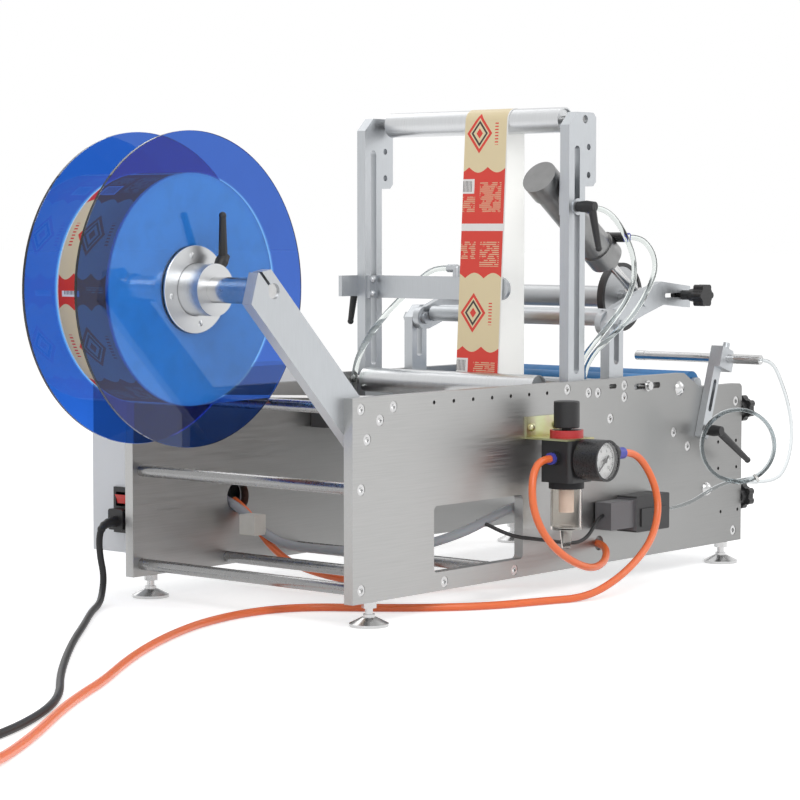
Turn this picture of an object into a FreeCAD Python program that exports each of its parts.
import FreeCAD, Part
import os
from math import acos, atan2, cos, degrees, hypot, pi, radians, sin, sqrt, tan

os.makedirs("parts", exist_ok=True)

V = FreeCAD.Vector
UP = V(0, 0, 1)

# Semi-automatic label applicator for round bottles. Millimetres, +Z up.
# The drawing datum is the front side plate: X runs along it from its left end, Y runs from its outer
# face to the rear plate, and Z is the height above the floor. export() moves the datum to the floor
# under the middle of the front left foot.

# ---- frame -------------------------------------------------------------------------------------
PLATE_LENGTH = 686.0
PLATE_THICK = 11.3
PLATE_BOTTOM = 24.0
PLATE_TOP = 224.0
PLATE_INNER = 293.0            # clear width between the two side plates
STEP_START = 566.0             # the top edge drops here to make room for the bottle rollers
STEP_RUN = 31.0
STEP_TOP = 207.0
REAR_LOW_TOP = 217.0           # the rear plate is lower at the reel end
REAR_LOW_END = 292.0
WINDOW_LEFT = 123.0
WINDOW_RIGHT = 268.6
WINDOW_BOTTOM = 43.0
WINDOW_TOP = 110.0
ROD_R = 6.0
ROD_LEFT_X = 12.6
BASE_ROD_X = (139.7, 254.5)
BASE_ROD_Z = 32.4
RIGHT_ROD_UPPER = (673.6, 186.7)
RIGHT_ROD_LOWER = (669.8, 36.3)
SCREW_HEAD_R = 5.5
SCREW_HEAD_DEEP = 5.0
SCREW_SHANK_R = 3.0
SCREW_GAP = 0.15               # all round a screw head or shank
SCREW_REACH = 14.0             # how far a screw goes into what it holds
DOME_R = 8.5
DOME_HIGH = 5.0
HOLE_ROW_X = 123.0
HOLE_ROW_PITCH = 31.1
HOLE_ROW_COUNT = 7
HOLE_ROW_Z = 214.0
SPARE_SLOT = (428.0, 215.5)    # an empty slot in the front plate
SPARE_SLOT_LONG = 14.0
SPARE_SLOT_WIDE = 5.0
TAPPED_R = 2.0
TAPPED_HOLES = ((636.7, 141.4), (637.2, 110.9), (674.2, 141.0), (675.2, 110.0), (678.0, 91.0),
                (642.9, 60.2), (678.6, 60.0))
FOOT_X = (30.3, 652.0)
FOOT_PAD_R = 19.5
FOOT_PAD_HIGH = 9.0
FOOT_STUD_R = 4.0
FOOT_STUD_INTO = 12.0
FOOT_NUT_AF = 13.0
FOOT_NUT_HIGH = 6.0

# ---- reel and its arm --------------------------------------------------------------------------
REEL_X = -97.2
REEL_Z = 328.6
DISC_R = 151.5
DISC_THICK = 3.5
DISC_FRONT_Y = 115.5
ROLL_WIDE = 68.0
ROLL_R = 111.6
CORE_R = 37.5
FLANGE_R = 42.0
COLLAR_R = 25.0
COLLAR_LONG = 28.5
REEL_SHAFT_R = 12.5
REEL_SCREW_R = 33.0            # circle of the screws that hold disc and flange together
ARM_THICK = 12.0
REEL_SPIGOT_R = 7.5
REEL_LEVER_ANGLE = 55.0        # where its stud stands round the collar, from +X
RUNNING_GAP = 0.05             # radial, in every bearing
SEAT_GAP = 0.3                 # between neighbours that only lie side by side
LEVER_STUD_R = 3.0

# ---- uprights, web rollers, crossbar -----------------------------------------------------------
POST_THICK = 12.0
TALL_X = 376.4
TALL_WIDE = 29.0
TALL_TOP = 511.0
TALL_EAR = 34.1                # from the upright's middle line to the ends of its ears
TALL_EAR_HIGH = 79.0
POST_BOTTOM = 196.0
POST_CHAMFER = 14.0
TALL_SLOT_BOTTOM = 231.0
TALL_SLOT_BELOW_TOP = 36.0
EAR_HOLES_BELOW_TOP = (37.0, 67.0)
EAR_HOLE_R = 3.3
SLOT_WIDE = 9.4
REAR_TALL_SHIFT = -8.0         # the rear upright is set this much further left
TOP_ROLLER_X = TALL_X + 14.2
TOP_ROLLER_Z = TALL_TOP - 7.5
WEB_ROLLER_R = 13.8
ROLLER_AXLE_R = 4.5
ROLLER_Y = (38.0, 283.0)
LOW_ROLLER_X = TALL_X - 30.9
LOW_ROLLER_Z = 216.0
SHORT_X = TALL_X + 73.6
SHORT_WIDE = 26.0
SHORT_TOP = 298.0
SHORT_SLOT = (238.0, 290.0)
CROSSBAR_X = TALL_X - 8.4
CROSSBAR_THICK = 5.0
CROSSBAR_Z = (308.0, 333.5)
CROSSBAR_END_Y = 98.0
WEB_Y = (104.5, 164.5)
WEB_THICK = 0.25
GUIDE_ROD_X = 423.9
GUIDE_ROD_Z = 180.6
GUIDE_BAR_R = 18.0
FITTING_ON_BAR_Y = 172.0

# ---- label drive and bottle rollers ------------------------------------------------------------
PEEL_X = (470.0, 534.0)
PEEL_TOP = 207.0
PEEL_THICK = 6.0
PEEL_BAR_X = 493.5
PEEL_BAR_Z = 213.0
PEEL_SLOT_LONG = 50.0
TRACTION_X = 574.2
TRACTION_Z = 140.9
TRACTION_R = 18.0
NIP_R = 14.0
NIP_ANGLE = 148.0              # where the nip roller sits round the traction roller, from +X
NIP_GAP = 0.9                  # backing paper between the two, with room on both sides
DRIVE_AXLE_R = 5.0
BOTTLE_ROLLER_R = 14.5
BOTTLE_ROLLER_Y = (20.0, 290.0)
REAR_BOTTLE_X = 557.0
REAR_BOTTLE_Z = 207.0
FRONT_BOTTLE_X = 611.0
FRONT_BOTTLE_Z = 209.0
CRADLE_X = 613.7
CRADLE_Z = 88.8
CRADLE_THICK = 6.0
CRADLE_FOOT_R = 11.0
CRADLE_TOP_R = 7.5
MOTOR_SIDE = 57.0
MOTOR_LONG = 76.0

# ---- press arm and its air cylinder ------------------------------------------------------------
PRESS_X = SHORT_X              # the press arm turns about this line
PRESS_Z = 283.0
PRESS_PIN_R = 4.0
LEVER_THICK = 8.0
PRESS_SHAFT_X = PRESS_X + 10.0
PRESS_SHAFT_Z = PRESS_Z + 5.0
PRESS_SHAFT_R = 8.8
PRESS_ROLLER_X = PRESS_X + 95.0
PRESS_ROLLER_Z = PRESS_Z + 26.0
PRESS_ROLLER_R = 12.2
PRESS_AXLE_R = 5.0
WHEEL_R = 39.0
WHEEL_FRONT_Y = 70.5
WHEEL_THICK = 8.0
TYRE_THICK = 4.0
KNOB_STUD_X = PRESS_ROLLER_X + 52.0
KNOB_STUD_R = 2.4
KNOB_SLOT_LONG = 38.0
CYL_Y = 49.0
CYL_X = TALL_X + 7.6           # trunnion of the air cylinder
CYL_Z = TALL_TOP - 87.0
CYL_R = 20.0
CYL_BACK = 31.0                # trunnion to back end
CYL_FRONT = 120.0              # trunnion to front end
CYL_NOSE_R = 10.0
CYL_NOSE = 12.0
CYL_ROD_R = 5.0
EYE_SLACK = 2.1                # radial, in the rod eye
EYE_R = 11.0
CLAMP_Z = CYL_Z - 14.0
TRUNNION_R = 5.0
ROD_BACK = 36.0                # trunnion to the back of the piston
CYL_PORTS = ((101.0, -47.0, 20.0), (46.0, -15.0, 30.0))    # X and Z from the trunnion, and outer Y
AIR_SPOUT_R = 5.5

# ---- air regulator -----------------------------------------------------------------------------
REG_X = 297.0
REG_Y = -35.0
REG_KNOB_R = 13.5
REG_KNOB_TOP = 208.0
REG_NECK_R = 14.0
REG_STEM_R = 5.0
REG_LEFT_END = 268.0           # where the hoses enter the collars
REG_RIGHT_END = 398.0
REG_RING_R = 17.5
REG_BODY = 40.0
REG_BODY_Z = (124.0, 168.0)
REG_BRACKET_Z = 170.0
REG_BRACKET_TOP = 191.0
REG_BRACKET_X = (272.0, 330.0)
REG_PORT_Z = 149.5
REG_BOWL_R = 16.5
REG_BOWL_BOTTOM = 74.0
REG_DRAIN_BOTTOM = 54.0
GAUGE_R = 21.5
GAUGE_LONG = 33.0
GAUGE_Z = 148.5
NEEDLE_ANGLE = 222.0           # from +X
NEEDLE_PIN_R = 0.9
FITTING_R = 7.0
COLLET_R = 6.2
HOSE_D = 8.0
HOSE_HOLE_X = 403.8
HOSE_HOLE_Z = 46.5
HOSE_HOLE_R = 8.0

# ---- label sensor ------------------------------------------------------------------------------
SENSOR_X = 597.0               # the bar turns here on the front plate
SENSOR_Z = 158.0
SENSOR_LEAN = 18.4             # of the bar from upright, in degrees
SENSOR_BAR_FROM = -9.0         # below the pivot
SENSOR_BAR_TO = 98.0
SENSOR_BAR_WIDE = 15.0
SENSOR_BAR_THICK = 9.0
SENSOR_HEAD_FROM = 74.0        # the bar is wider from here up
SENSOR_HEAD_WIDE = 19.0        # from the middle of the bar to the head's far side
SENSOR_ROD_ALONG = 87.6        # rod axis, along and across the bar from the pivot
SENSOR_ROD_ACROSS = 9.9
SENSOR_STUD_R = 3.0
SENSOR_STUD_INTO = 9.5
SENSOR_ROD_R = 5.5
SENSOR_ROD_Y = (-58.0, 112.0)
SENSOR_CAP_LONG = 12.0
AMP_X = (437.0, 500.0)
AMP_Y = -26.0
AMP_Z = (56.5, 96.0)

# ---- end knobs, control box --------------------------------------------------------------------
KNOB_R = 15.0
KNOB_LONG = 16.0
KNOB_SCREW_R = 3.0
KNOB_SCREW_INTO = 14.0
END_KNOB_Z = (177.0, 74.0)
BOX_X = (12.0, 292.0)
BOX_Y_DEEP = 62.0
BOX_Z = (47.0, 236.0)
BOX_WALL = 1.6
INLET_Z = (68.0, 116.0)
INLET_Y = 330.0
ROCKER_Z = 103.5
ROCKER_IN = 8.0
ROCKER_PIN_R = 1.5
PLUG_X = -1.0                  # outer end of the plug in the inlet
VALVE_X = 326.0
VALVE_Z = 178.0
SLEEVE_HOLE_X = 157.0
SLEEVE_HOLE_Z = 96.0
SLEEVE_HOLE_R = 17.0

# ---- cords -------------------------------------------------------------------------------------
MAINS_D = 7.0
TUBE_D = 6.0
UPPER_TUBE_D = 7.0
FIBRE_D = 4.0
LOOM_D = 10.0
FIBRE_COIL = (582.0, -62.0, 144.0)
FIBRE_COIL_FACES = (0.763, 0.647, 0.0)
FIBRE_COIL_R = 42.0
FIBRE_COIL_THICK = 9.0
SUPPLY_COIL = (45.0, 2, 1)     # mean radius, cords side by side, layers
POWER_COIL = (40.0, 3, 1)

# ---- derived places ----------------------------------------------------------------------------
IN_FRONT = PLATE_THICK
IN_REAR = PLATE_THICK + PLATE_INNER
OUT_REAR = IN_REAR + PLATE_THICK
FOOT_Y = (PLATE_THICK / 2, OUT_REAR - PLATE_THICK / 2)
DISC_REAR_Y = DISC_FRONT_Y + DISC_THICK + ROLL_WIDE
POST_FRONT = (IN_FRONT, IN_FRONT + POST_THICK)
POST_REAR = (IN_REAR - POST_THICK, IN_REAR)
REAR_TALL_X = TALL_X + REAR_TALL_SHIFT
NIP_DIST = TRACTION_R + NIP_R + NIP_GAP
NIP_X = TRACTION_X + NIP_DIST * cos(radians(NIP_ANGLE))
NIP_Z = TRACTION_Z + NIP_DIST * sin(radians(NIP_ANGLE))
REG_FACE_Y = REG_Y - REG_BODY / 2
GAUGE_FACE_Y = REG_FACE_Y - GAUGE_LONG


# ---- shape helpers -----------------------------------------------------------------------------
def block(x0, x1, y0, y1, z0, z1):
    return Part.makeBox(x1 - x0, y1 - y0, z1 - z0, V(x0, y0, z0))


def bar(start, end, radius):
    """A round bar between two points."""
    a, b = V(*start), V(*end)
    return Part.makeCylinder(radius, (b - a).Length, a, b - a)


def along_y(x, z, radius, y0, y1):
    return bar((x, y0, z), (x, y1, z), radius)


def along_x(y, z, radius, x0, x1):
    return bar((x0, y, z), (x1, y, z), radius)


def along_z(x, y, radius, z0, z1):
    return bar((x, y, z0), (x, y, z1), radius)


def tube_y(x, z, outer, inner, y0, y1):
    return along_y(x, z, outer, y0, y1).cut(along_y(x, z, inner, y0 - 1, y1 + 1))


def cone_z(x, y, r0, r1, z0, z1):
    return Part.makeCone(r0, r1, z1 - z0, V(x, y, z0), UP)


def prism_y(outline, y0, y1):
    """A flat plate in the XZ plane, from a list of (x, z) corners."""
    points = [V(x, y0, z) for x, z in outline]
    face = Part.Face(Part.makePolygon(points + points[:1]))
    return face.extrude(V(0, y1 - y0, 0))


def slot_y(x, z, long, wide, y0, y1, upright=False):
    """A cutter for a round-ended slot through a plate that faces Y."""
    half = (long - wide) / 2
    dx, dz = (0, half) if upright else (half, 0)
    ends = [along_y(x + s * dx, z + s * dz, wide / 2, y0, y1) for s in (-1, 1)]
    if upright:
        middle = block(x - wide / 2, x + wide / 2, y0, y1, z - half, z + half)
    else:
        middle = block(x - half, x + half, y0, y1, z - wide / 2, z + wide / 2)
    return middle.fuse(ends)


def hexagon(centre, axis, flats, long):
    """A hexagonal prism that starts at centre and runs along axis."""
    radius = flats / sqrt(3)
    points = [V(radius * cos(k * pi / 3), radius * sin(k * pi / 3), 0) for k in range(7)]
    prism = Part.Face(Part.makePolygon(points)).extrude(V(0, 0, long))
    return turned(prism, centre, axis)


def turned(shape, origin, axis):
    """Moves a shape drawn along +Z from the origin so that it stands at origin along axis."""
    result = shape.copy()
    result.Placement = FreeCAD.Placement(V(*origin), FreeCAD.Rotation(UP, V(*axis)))
    return result


def round_edges(shape, radius, chosen):
    edges = [edge for edge in shape.Edges if chosen(edge)]
    return shape.makeFillet(radius, edges) if edges else shape


def runs_along_y(edge):
    a, b = edge.Vertexes[0].Point, edge.Vertexes[-1].Point
    return abs(a.x - b.x) < 0.01 and abs(a.z - b.z) < 0.01 and abs(a.y - b.y) > 1


def solids_of(shapes):
    if not isinstance(shapes, (list, tuple)):
        shapes = [shapes]
    found = []
    for shape in shapes:
        found.extend(shape.Solids)
    return found


def export(node, shapes):
    """Writes one STEP file with every solid of the node, with its datum under the front left foot."""
    group = Part.makeCompound([solid.copy() for solid in solids_of(shapes)])
    group.translate(V(-FOOT_X[0], -FOOT_Y[0], 0))
    group.exportStep("parts/" + node + ".step")


def socket_screw(x, z, face_y, side, reach):
    """A socket head screw sunk in a plate. side is +1 when it points towards +Y."""
    deep = face_y + side * 0.5
    seat = face_y + side * SCREW_HEAD_DEEP
    end = seat + side * reach
    head = along_y(x, z, SCREW_HEAD_R, min(deep, seat), max(deep, seat))
    shank = along_y(x, z, SCREW_SHANK_R, min(seat, end), max(seat, end))
    socket = hexagon((x, deep - side * 0.1, z), (0, side, 0), 5.0, 3.1)
    return head.fuse(shank).cut(socket)


def sunk_hole(x, z, face_y, side, thick):
    """The counterbore and clearance hole that a socket_screw sits in."""
    seat = face_y + side * SCREW_HEAD_DEEP
    far = face_y + side * (thick + 1)
    near = face_y - side
    head = along_y(x, z, SCREW_HEAD_R + SCREW_GAP, min(near, seat), max(near, seat))
    shank = along_y(x, z, SCREW_SHANK_R + SCREW_GAP, min(seat, far), max(seat, far))
    return head.fuse(shank)


def star_knob(centre, axis, radius, long, lobes=6):
    """A lobed hand knob with its neck. It starts at centre and grows along axis."""
    neck = Part.makeCone(radius * 0.52, radius * 0.62, long * 0.4)
    head_z = long * 0.4
    head = Part.makeCylinder(radius * 0.8, long * 0.6, V(0, 0, head_z))
    for k in range(lobes):
        angle = 2 * pi * k / lobes
        lobe = Part.makeCylinder(radius * 0.27, long * 0.6,
                                 V(radius * 0.73 * cos(angle), radius * 0.73 * sin(angle), head_z))
        head = head.fuse(lobe)
    head = head.removeSplitter()
    return turned(neck.fuse(head), centre, axis)


def clamp_lever(foot, axis, tip, hub_r=6.5, hub_long=15.0, arm_r=3.6):
    """An adjustable clamping lever: hub on its stud at foot, arm out to tip."""
    a = V(*axis)
    a.normalize()
    base = V(*foot)
    knee = base + a * (hub_long - arm_r * 1.25)
    hub = Part.makeCone(hub_r * 0.85, hub_r, hub_long * 0.5, base, a)
    top = Part.makeCone(hub_r, hub_r * 0.8, hub_long * 0.5, base + a * (hub_long * 0.5), a)
    direction = V(*tip) - knee
    arm = Part.makeCone(arm_r * 1.25, arm_r * 0.9, direction.Length - arm_r, knee, direction)
    ball = Part.makeSphere(arm_r, V(*tip) - direction.normalize() * arm_r)
    return hub.fuse([top, arm, ball])


def cord(name, points, diameter):
    """A tube along straight runs joined by tangent arcs, each as large as its runs allow."""
    route = [V(*p) for p in points]
    edges = []
    here = route[0]
    length = 0.0
    radii = []
    for k in range(1, len(route) - 1):
        before, corner, after = route[k - 1], route[k], route[k + 1]
        a = before - corner
        b = after - corner
        shorter = min(a.Length, b.Length)
        a.normalize()
        b.normalize()
        turn = pi - a.getAngle(b)
        trim = 0.45 * shorter
        radius = trim / tan(turn / 2)
        radii.append(radius)
        start = corner + a * trim
        end = corner + b * trim
        inward = a + b
        inward.normalize()
        middle = corner + inward * (hypot(radius, trim) - radius)
        edges.append(Part.LineSegment(here, start).toShape())
        edges.append(Part.Arc(start, middle, end).toShape())
        length += (start - here).Length + radius * turn
        here = end
    edges.append(Part.LineSegment(here, route[-1]).toShape())
    length += (route[-1] - here).Length
    path = Part.Wire(edges)
    first = route[1] - route[0]
    ring = Part.Wire([Part.Circle(route[0], first, diameter / 2).toShape()])
    tube = path.makePipeShell([ring], True, True)
    if tube.Volume < 0:
        tube.reverse()
    section = pi * diameter ** 2 / 4
    print("%s: %.0f mm long, smallest radius %.0f mm (%.1f diameters), volume / (section x length) %.3f" % (
        name, length, min(radii), min(radii) / diameter, tube.Volume / (section * length)))
    return tube


# ---- side plates and what ties them together ---------------------------------------------------
ARM_SCREWS = ((60.7, 213.0), (40.6, 201.0), (21.5, 183.0))
TALL_SCREWS = ((TALL_X + 7.3, 210.7), (TALL_X + 24.5, 209.8))
SHORT_SCREWS = ((SHORT_X, 215.5), (SHORT_X, 202.6))
RODS = ((ROD_LEFT_X, 212.8), (ROD_LEFT_X, 135.0), (ROD_LEFT_X, 37.0),
        (BASE_ROD_X[0], BASE_ROD_Z), (BASE_ROD_X[1], BASE_ROD_Z),
        RIGHT_ROD_UPPER, RIGHT_ROD_LOWER, (GUIDE_ROD_X, GUIDE_ROD_Z))
AXLES = ((TRACTION_X, TRACTION_Z), (NIP_X, NIP_Z), (LOW_ROLLER_X, LOW_ROLLER_Z))
DOMES = ((REAR_BOTTLE_X, REAR_BOTTLE_Z), (CRADLE_X, CRADLE_Z))


def side_plate(y0, top_left, low_until):
    """The outline shared by both side plates. The rear one starts lower, up to low_until."""
    outline = [(0, PLATE_BOTTOM), (PLATE_LENGTH, PLATE_BOTTOM), (PLATE_LENGTH, STEP_TOP),
               (STEP_START + STEP_RUN, STEP_TOP), (STEP_START, PLATE_TOP)]
    if low_until > 0:
        outline += [(low_until, PLATE_TOP), (low_until, top_left)]
    outline += [(0, top_left)]
    plate = prism_y(outline, y0, y0 + PLATE_THICK)
    corner = V(PLATE_LENGTH, 0, STEP_TOP)

    def top_corner(edge):
        point = edge.Vertexes[0].Point
        return runs_along_y(edge) and hypot(point.x - corner.x, point.z - corner.z) < 0.01

    return round_edges(plate, 6.0, top_corner)


def shifted(places, shift):
    return tuple((x + shift, z) for x, z in places)


def plate_cutters(face_y, side, post_screws):
    """Holes that both plates have. side is +1 on the front plate, whose outer face looks to -Y."""
    cutters = [sunk_hole(x, z, face_y, side, PLATE_THICK) for x, z in RODS + AXLES + post_screws]
    y0, y1 = sorted((face_y - side, face_y + side * (PLATE_THICK + 1)))
    for x, z in DOMES:
        cutters.append(along_y(x, z, SCREW_SHANK_R + SCREW_GAP, y0, y1))
    cutters.append(slot_y(PEEL_BAR_X, PEEL_BAR_Z, PEEL_SLOT_LONG, 2 * SCREW_SHANK_R + 0.4, y0, y1))
    stud_y = face_y + side * PLATE_THICK / 2
    for x in FOOT_X:
        cutters.append(along_z(x, stud_y, FOOT_STUD_R + RUNNING_GAP, PLATE_BOTTOM - 1, PLATE_BOTTOM + FOOT_STUD_INTO))
    return cutters


def make_front_side_plate():
    plate = side_plate(0, PLATE_TOP, 0)
    window = block(WINDOW_LEFT, WINDOW_RIGHT, -1, PLATE_THICK + 1, WINDOW_BOTTOM, WINDOW_TOP)
    window = window.makeFillet(5.0, [e for e in window.Edges if runs_along_y(e)])
    cutters = plate_cutters(0, 1, TALL_SCREWS + SHORT_SCREWS) + [window]
    cutters += [sunk_hole(x, z, 0, 1, PLATE_THICK) for x, z in ARM_SCREWS]
    for k in range(HOLE_ROW_COUNT):
        cutters.append(along_y(HOLE_ROW_X + k * HOLE_ROW_PITCH, HOLE_ROW_Z, TAPPED_R, -1, 8))
    for x, z in TAPPED_HOLES:
        cutters.append(along_y(x, z, TAPPED_R, -1, 8))
    cutters.append(slot_y(SPARE_SLOT[0], SPARE_SLOT[1], SPARE_SLOT_LONG, SPARE_SLOT_WIDE, -1, PLATE_THICK + 1))
    cutters.append(along_y(HOSE_HOLE_X, HOSE_HOLE_Z, HOSE_HOLE_R, -1, PLATE_THICK + 1))
    for z in END_KNOB_Z:
        cutters.append(along_x(PLATE_THICK / 2, z, KNOB_SCREW_R + RUNNING_GAP,
                               PLATE_LENGTH - KNOB_SCREW_INTO - 1, PLATE_LENGTH + 1))
    cutters.append(along_y(SENSOR_X, SENSOR_Z, SENSOR_STUD_R + RUNNING_GAP, -1, PLATE_THICK - 1))
    export("front_side_plate", plate.cut(cutters))


def make_rear_side_plate():
    plate = side_plate(IN_REAR, REAR_LOW_TOP, REAR_LOW_END)
    cutters = plate_cutters(OUT_REAR, -1, shifted(TALL_SCREWS, REAR_TALL_SHIFT) + SHORT_SCREWS)
    cutters.append(along_y(SLEEVE_HOLE_X, SLEEVE_HOLE_Z, SLEEVE_HOLE_R, IN_REAR - 1, OUT_REAR + 1))
    cutters.append(along_y(TRACTION_X, TRACTION_Z, DRIVE_AXLE_R + 1.0, IN_REAR - 1, OUT_REAR + 1))
    export("rear_side_plate", plate.cut(cutters))


def tapped_bar(x, z, radius, y0, y1):
    """A round bar between the plates, tapped at both ends for its screws."""
    reach = SCREW_REACH - (PLATE_THICK - SCREW_HEAD_DEEP) + 1
    solid = along_y(x, z, radius, y0, y1)
    ends = [along_y(x, z, SCREW_SHANK_R + RUNNING_GAP, y0 - 1, y0 + reach),
            along_y(x, z, SCREW_SHANK_R + RUNNING_GAP, y1 - reach, y1 + 1)]
    return solid.cut(ends)


def make_cross_rods():
    rods = [tapped_bar(x, z, ROD_R, IN_FRONT, IN_REAR) for x, z in RODS[:-1]]
    guide = along_y(GUIDE_ROD_X, GUIDE_ROD_Z, GUIDE_BAR_R, ROLLER_Y[0], ROLLER_Y[1])
    rods.append(tapped_bar(GUIDE_ROD_X, GUIDE_ROD_Z, ROD_R, IN_FRONT, IN_REAR).fuse(guide))
    rods.append(along_y(TOP_ROLLER_X, TOP_ROLLER_Z, ROLLER_AXLE_R, POST_FRONT[0] + 2, POST_REAR[1] - 2))
    rods.append(tapped_bar(TRACTION_X, TRACTION_Z, DRIVE_AXLE_R, IN_FRONT, IN_FRONT + 60).fuse(
        along_y(TRACTION_X, TRACTION_Z, DRIVE_AXLE_R, IN_FRONT + 40, IN_FRONT + 60)))
    rods.append(tapped_bar(LOW_ROLLER_X, LOW_ROLLER_Z, ROLLER_AXLE_R, IN_FRONT, IN_REAR))
    rods.append(tapped_bar(NIP_X, NIP_Z, DRIVE_AXLE_R, IN_FRONT, IN_REAR))
    rods.append(tapped_bar(REAR_BOTTLE_X, REAR_BOTTLE_Z, DRIVE_AXLE_R, IN_FRONT, IN_REAR))
    rods.append(tapped_bar(CRADLE_X, CRADLE_Z, DRIVE_AXLE_R, IN_FRONT, IN_REAR))
    export("cross_rods", rods)


def dome_screw(x, z, face_y, side):
    end = face_y + side * (PLATE_THICK + 7)
    y0, y1 = sorted((face_y, end))
    shank = along_y(x, z, SCREW_SHANK_R, y0, y1)
    ball_r = (DOME_R ** 2 + DOME_HIGH ** 2) / (2 * DOME_HIGH)
    ball = Part.makeSphere(ball_r, V(x, face_y - side * (DOME_HIGH - ball_r), z))
    y0, y1 = sorted((face_y, face_y - side * DOME_HIGH))
    head = ball.common(block(x - DOME_R, x + DOME_R, y0, y1, z - DOME_R, z + DOME_R))
    socket = hexagon((x, face_y - side * (DOME_HIGH + 1), z), (0, side, 0), 5.0, 4.0)
    return shank.fuse(head).cut(socket)


def make_plate_screws():
    into = SCREW_REACH
    post = PLATE_THICK - SCREW_HEAD_DEEP + POST_THICK - 2
    screws = []
    rear_posts = shifted(TALL_SCREWS, REAR_TALL_SHIFT) + SHORT_SCREWS
    for x, z in RODS + AXLES:
        screws.append(socket_screw(x, z, 0, 1, into))
        if (x, z) != (TRACTION_X, TRACTION_Z):
            screws.append(socket_screw(x, z, OUT_REAR, -1, into))
    screws += [socket_screw(x, z, 0, 1, post) for x, z in TALL_SCREWS + SHORT_SCREWS]
    screws += [socket_screw(x, z, OUT_REAR, -1, post) for x, z in rear_posts]
    for x, z in ARM_SCREWS:
        screws.append(socket_screw(x, z, 0, 1, PLATE_THICK - SCREW_HEAD_DEEP + ARM_THICK - 2))
    for x, z in DOMES:
        screws.append(dome_screw(x, z, 0, 1))
        screws.append(dome_screw(x, z, OUT_REAR, -1))
    for face_y, side in ((0, 1), (OUT_REAR, -1)):
        seat = face_y - side * 1.5
        y0, y1 = sorted((seat, face_y))
        washer = along_y(PEEL_BAR_X, PEEL_BAR_Z, 6.0, y0, y1)
        y0, y1 = sorted((seat - side * 3.5, seat))
        head = along_y(PEEL_BAR_X, PEEL_BAR_Z, 4.6, y0, y1)
        y0, y1 = sorted((face_y, face_y + side * (PLATE_THICK + 10)))
        shank = along_y(PEEL_BAR_X, PEEL_BAR_Z, SCREW_SHANK_R, y0, y1)
        screws.append(washer.fuse([head, shank]))
    export("plate_screws", screws)


def make_levelling_feet():
    feet = []
    for x in FOOT_X:
        for y in FOOT_Y:
            pad = along_z(x, y, FOOT_PAD_R, 0, 3.0)
            cone = cone_z(x, y, FOOT_PAD_R, 7.5, 3.0, FOOT_PAD_HIGH)
            neck = along_z(x, y, 6.0, FOOT_PAD_HIGH, FOOT_PAD_HIGH + 3)
            stud = along_z(x, y, FOOT_STUD_R, FOOT_PAD_HIGH, PLATE_BOTTOM + FOOT_STUD_INTO - 1)
            feet.append(pad.fuse([cone, neck, stud]))
            nut = hexagon((x, y, PLATE_BOTTOM - FOOT_NUT_HIGH), (0, 0, 1), FOOT_NUT_AF, FOOT_NUT_HIGH)
            feet.append(nut.cut(along_z(x, y, FOOT_STUD_R, 0, PLATE_TOP)))
    export("levelling_feet", feet)


# ---- reel --------------------------------------------------------------------------------------
def make_reel_arm():
    y0, y1 = IN_FRONT, IN_FRONT + ARM_THICK
    outline = [(REEL_X - 30.3, REEL_Z - 11.6), (REEL_X - 21.4, REEL_Z + 17.4), (REEL_X - 3.8, REEL_Z + 20.4),
               (26.0, PLATE_TOP - 2), (70.0, PLATE_TOP - 2), (70.0, 204.0), (48.0, 172.0), (16.0, 172.0)]
    arm = prism_y(outline, y0, y1)
    cutters = [along_y(x, z, SCREW_SHANK_R + RUNNING_GAP, y0 - 1, y1 - 1) for x, z in ARM_SCREWS]
    cutters.append(along_y(RODS[0][0], RODS[0][1], ROD_R + SCREW_GAP, y0 - 1, y1 + 1))
    cutters.append(along_y(REEL_X, REEL_Z, REEL_SPIGOT_R, y0 - 1, y1 + 1))
    slit = block(REEL_X - 60, REEL_X, y0 - 1, y1 + 1, REEL_Z - 1.5, REEL_Z + 1.5)
    slit.rotate(V(REEL_X, 0, REEL_Z), V(0, 1, 0), 45)
    cutters.append(slit)
    export("reel_arm", arm.cut(cutters))


def make_reel_shaft():
    y0 = IN_FRONT + ARM_THICK
    shaft = along_y(REEL_X, REEL_Z, REEL_SHAFT_R, y0 + 4, DISC_REAR_Y + DISC_THICK + 14)
    shoulder = along_y(REEL_X, REEL_Z, 14.5, y0, y0 + 12)
    spigot = along_y(REEL_X, REEL_Z, REEL_SPIGOT_R, IN_FRONT + 2, y0)
    stop = along_y(REEL_X, REEL_Z, 16.0, DISC_REAR_Y + DISC_THICK + 6.5, DISC_REAR_Y + DISC_THICK + 14)
    export("reel_shaft", shaft.fuse([shoulder, spigot, stop]))


def make_reel_discs():
    discs = []
    for y in (DISC_FRONT_Y, DISC_REAR_Y):
        disc = tube_y(REEL_X, REEL_Z, DISC_R, COLLAR_R, y, y + DISC_THICK)
        holes = [along_y(x, z, 2.6, y - 1, y + DISC_THICK + 1) for x, z in reel_screw_places()]
        discs.append(disc.cut(holes))
    export("reel_discs", discs)


def reel_screw_places():
    return [(REEL_X + REEL_SCREW_R * cos(radians(a)), REEL_Z + REEL_SCREW_R * sin(radians(a)))
            for a in (10, 100, 190, 280)]


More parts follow.
